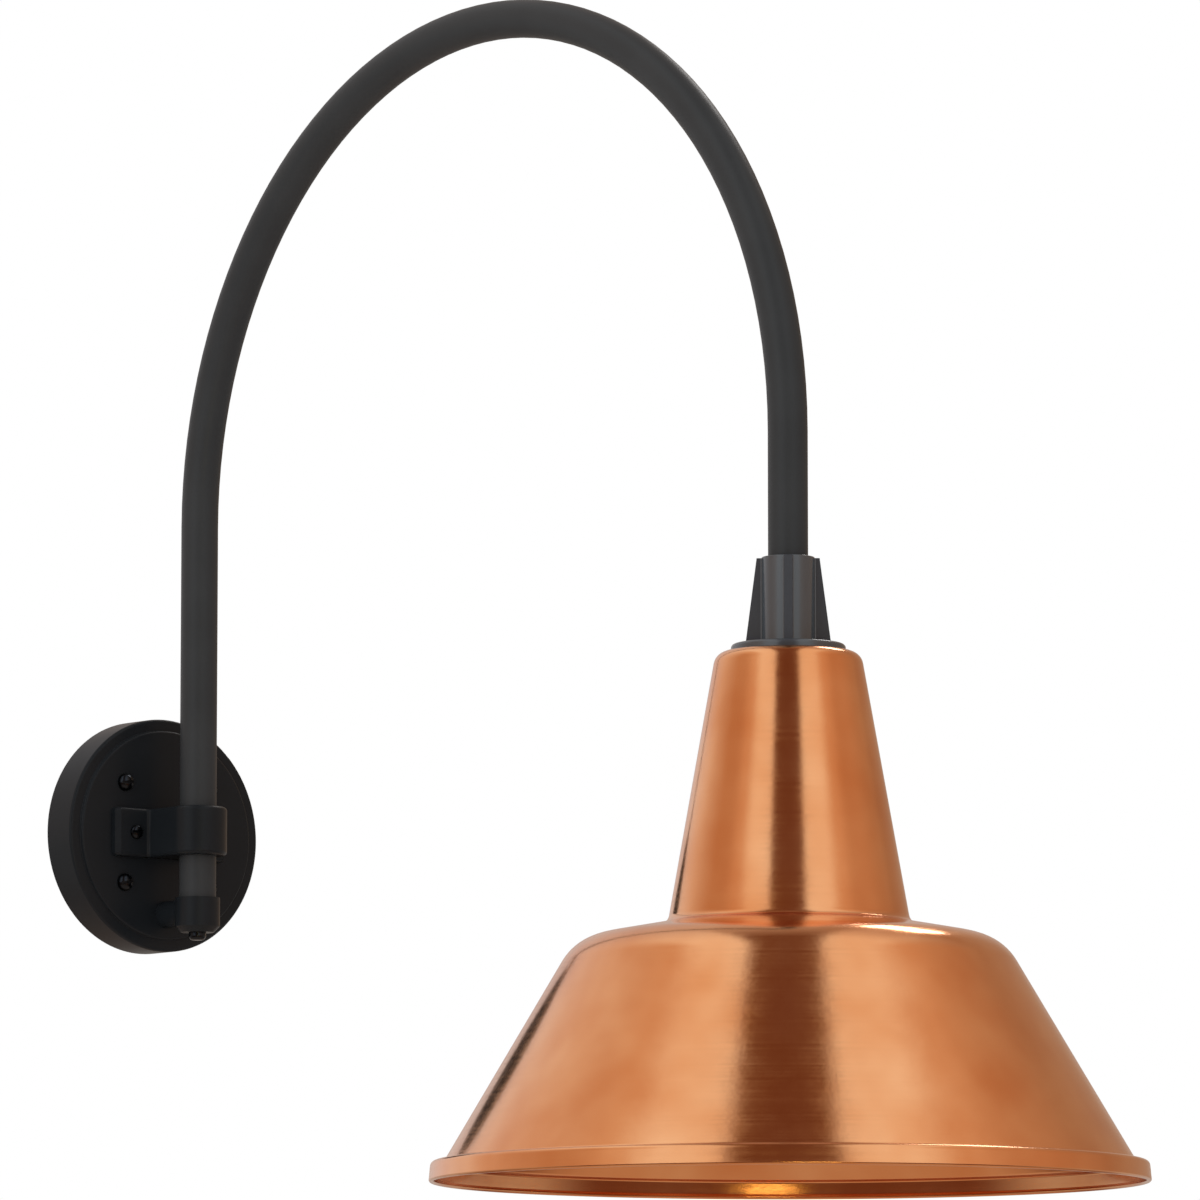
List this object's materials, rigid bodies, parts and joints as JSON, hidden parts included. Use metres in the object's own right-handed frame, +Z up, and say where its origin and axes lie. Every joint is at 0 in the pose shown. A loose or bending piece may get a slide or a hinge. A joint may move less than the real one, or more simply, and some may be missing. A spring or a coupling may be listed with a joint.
{
  "type": "wall light",
  "caption": "Gooseneck wall light with a round stepped canopy, a bent tube arm that swivels, a ribbed hub and a spun copper bell shade over a screw-in lamp.",
  "frame": {"origin": "centre of the canopy's back, on the wall", "axes": "+Y points into the wall, the light reaches out along -Y, +Z is up, the arm lies in the plane x = 0"},
  "size_m": [0.3566, 0.7143, 0.6271],
  "materials": {
    "black_paint": "satin black powder coat",
    "hub_paint": "satin charcoal powder coat on a casting",
    "black_screw": "blackened steel",
    "copper": "spun copper, soft polish, lacquered",
    "zinc_steel": "zinc plated",
    "brass": "plain",
    "porcelain": "white glaze",
    "cable_jacket": "matt black",
    "nylon": "natural",
    "green_paint": "green dyed",
    "solder": "dull",
    "black_glass": "gloss",
    "nickel": "nickel plated",
    "opal_glass": "frosted inside"
  },
  "bodies": {
    "wall_mount": {"mounting_plate": "zinc_steel", "ground_screw": "green_paint", "canopy": "black_paint", "canopy_screws": "black_screw", "arm_bracket": "black_paint", "bracket_screws": "black_screw", "bracket_nuts": "zinc_steel", "bracket_set_screw": "zinc_steel", "wire_elbow": "black_paint", "elbow_nut": "zinc_steel", "thrust_washer": "nylon", "supply_cable": "cable_jacket"},
    "arm": {"gooseneck_tube": "black_paint", "tube_plug": "zinc_steel", "pivot_screw": "black_screw", "arm_cable": "cable_jacket"},
    "shade_head": {"fitter_hub": "hub_paint", "hub_set_screws": "black_screw", "copper_shade": "copper", "shade_washer": "zinc_steel", "nipple": "brass", "nipple_nut": "zinc_steel", "socket_cap": "zinc_steel", "socket_body": "porcelain", "screw_shell": "brass", "centre_contact": "brass", "head_cable": "cable_jacket"},
    "lamp": {"bulb_contact": "solder", "bulb_insulator": "black_glass", "bulb_cap": "nickel", "bulb_glass": "opal_glass"}
  },
  "joints": [
    {"name": "arm_swivel", "type": "hinge", "parent": "wall_mount", "child": "arm", "pos_m": [0, -0.051, 0], "axis": [0, 0, 1], "range_deg": [-60, 60]},
    {"name": "hub_turn", "type": "hinge", "parent": "arm", "child": "shade_head", "pos_m": [0, -0.536, 0], "axis": [0, 0, 1], "range_deg": [-180, 180]},
    {"name": "lamp_out", "type": "slide", "parent": "shade_head", "child": "lamp", "axis": [0, 0, -1], "range_m": [0, 0.24]}
  ]
}
